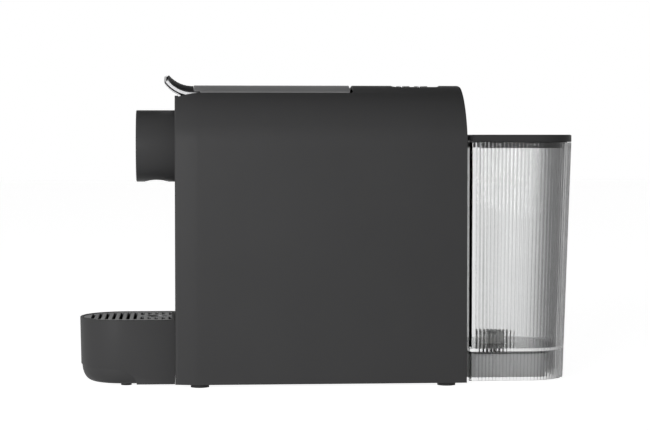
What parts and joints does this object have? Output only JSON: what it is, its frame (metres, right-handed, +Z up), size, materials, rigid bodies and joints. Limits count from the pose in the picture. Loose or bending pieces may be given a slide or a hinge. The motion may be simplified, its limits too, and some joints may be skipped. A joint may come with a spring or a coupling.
{
  "type": "pod coffee machine",
  "caption": "Slim pod coffee machine with a lift-up lever, round spout, drip tray with slotted grid, and a ribbed clear water tank at the back.",
  "frame": {"origin": "centre of the footprint of the whole machine, on the surface it stands on", "axes": "+X to the rear where the water tank is, the spout and drip tray face -X, +Y across the machine, +Z up"},
  "size_m": [0.3276, 0.094, 0.2042],
  "materials": {
    "body_black": "fine satin texture",
    "gloss_black": "polished",
    "lever_grey": "satin",
    "grid_grey": "satin",
    "chrome": "polished",
    "clear_tank": "clear ribbed plastic",
    "dock_grey": "moulded",
    "inner_plastic": "moulded",
    "white_plastic": "moulded",
    "rubber": "matt",
    "silicone": "soft",
    "aluminium": "cast",
    "steel": "brushed",
    "brass": "turned",
    "board": "solder mask"
  },
  "bodies": {
    "chassis": {"casing": "body_black", "front_panel": "body_black", "rear_panel": "body_black", "base_plate": "body_black", "foot_front_left": "rubber", "foot_front_right": "rubber", "foot_rear_left": "rubber", "foot_rear_right": "rubber", "cord_gland": "rubber", "inner_chassis": "inner_plastic", "brew_frame": "inner_plastic", "outlet_plate": "steel", "chute_cover": "body_black", "spout_housing": "gloss_black", "spout_nozzle": "gloss_black", "lever_axle": "steel", "idler_axle": "steel", "water_sleeve": "brass", "tank_dock": "dock_grey", "inlet_coupling": "white_plastic", "coupling_seal": "silicone", "pump": "white_plastic", "pump_coil": "steel", "pump_mount_front": "rubber", "pump_mount_rear": "rubber", "thermoblock": "aluminium", "thermostat": "aluminium", "flow_meter": "white_plastic", "inlet_hose": "silicone", "pump_hose": "silicone", "pressure_hose": "silicone", "brew_hose": "silicone", "button_bezel": "gloss_black", "control_board": "board", "switch_front": "gloss_black", "switch_rear": "gloss_black"},
    "lever": {"gear_sector": "white_plastic", "lever_arm": "chrome", "lever_plate": "lever_grey", "lever_grip": "gloss_black"},
    "idler": {"idler_gear": "white_plastic"},
    "carriage": {"capsule_carriage": "inner_plastic", "injector": "steel", "capsule_seal": "silicone", "water_tube": "steel"},
    "tray": {"drip_tray": "body_black", "tray_foot_left": "rubber", "tray_foot_right": "rubber", "capsule_container": "body_black"},
    "grid": {"drip_grid": "grid_grey"},
    "tank": {"water_tank": "clear_tank", "valve_housing": "white_plastic", "tank_strainer": "white_plastic"},
    "tank_lid": {"tank_lid": "gloss_black"},
    "valve": {"valve_poppet": "silicone", "valve_spring": "steel"},
    "front_button": {"button_front": "lever_grey"},
    "rear_button": {"button_rear": "lever_grey"}
  },
  "joints": [
    {"name": "lever_hinge", "type": "hinge", "parent": "chassis", "child": "lever", "pos_m": [0.0097, 0, 0.1915], "axis": [0, 1, 0], "range_deg": [0, 85]},
    {"name": "idler_spin", "type": "hinge", "parent": "chassis", "child": "idler", "pos_m": [0.0097, 0, 0.1655], "axis": [0, 1, 0], "range_deg": [-192, 0]},
    {"name": "carriage_slide", "type": "slide", "parent": "chassis", "child": "carriage", "axis": [1, 0, 0], "range_m": [0, 0.0268]},
    {"name": "tray_slide", "type": "slide", "parent": "chassis", "child": "tray", "axis": [-1, 0, 0], "range_m": [0, 0.08]},
    {"name": "grid_lift", "type": "slide", "parent": "tray", "child": "grid", "axis": [0, 0, 1], "range_m": [0, 0.03]},
    {"name": "tank_lift", "type": "slide", "parent": "chassis", "child": "tank", "axis": [0, 0, 1], "range_m": [0, 0.06]},
    {"name": "tank_lid_hinge", "type": "hinge", "parent": "tank", "child": "tank_lid", "pos_m": [0.0941, 0, 0.1621], "axis": [0, -1, 0], "range_deg": [0, 85]},
    {"name": "valve_lift", "type": "slide", "parent": "tank", "child": "valve", "axis": [0, 0, 1], "range_m": [0, 0.0025], "stiffness_N_per_m": 150, "deforming": ["valve_spring"]},
    {"name": "front_button_press", "type": "slide", "parent": "chassis", "child": "front_button", "axis": [0, 0, -1], "range_m": [0, 0.0012], "stiffness_N_per_m": 400},
    {"name": "rear_button_press", "type": "slide", "parent": "chassis", "child": "rear_button", "axis": [0, 0, -1], "range_m": [0, 0.0012], "stiffness_N_per_m": 400}
  ],
  "couplings": [
    {"joint": "idler_spin", "follows": "lever_hinge", "ratio": -2.25},
    {"joint": "carriage_slide", "follows": "lever_hinge", "m_per_rad": 0.018}
  ]
}
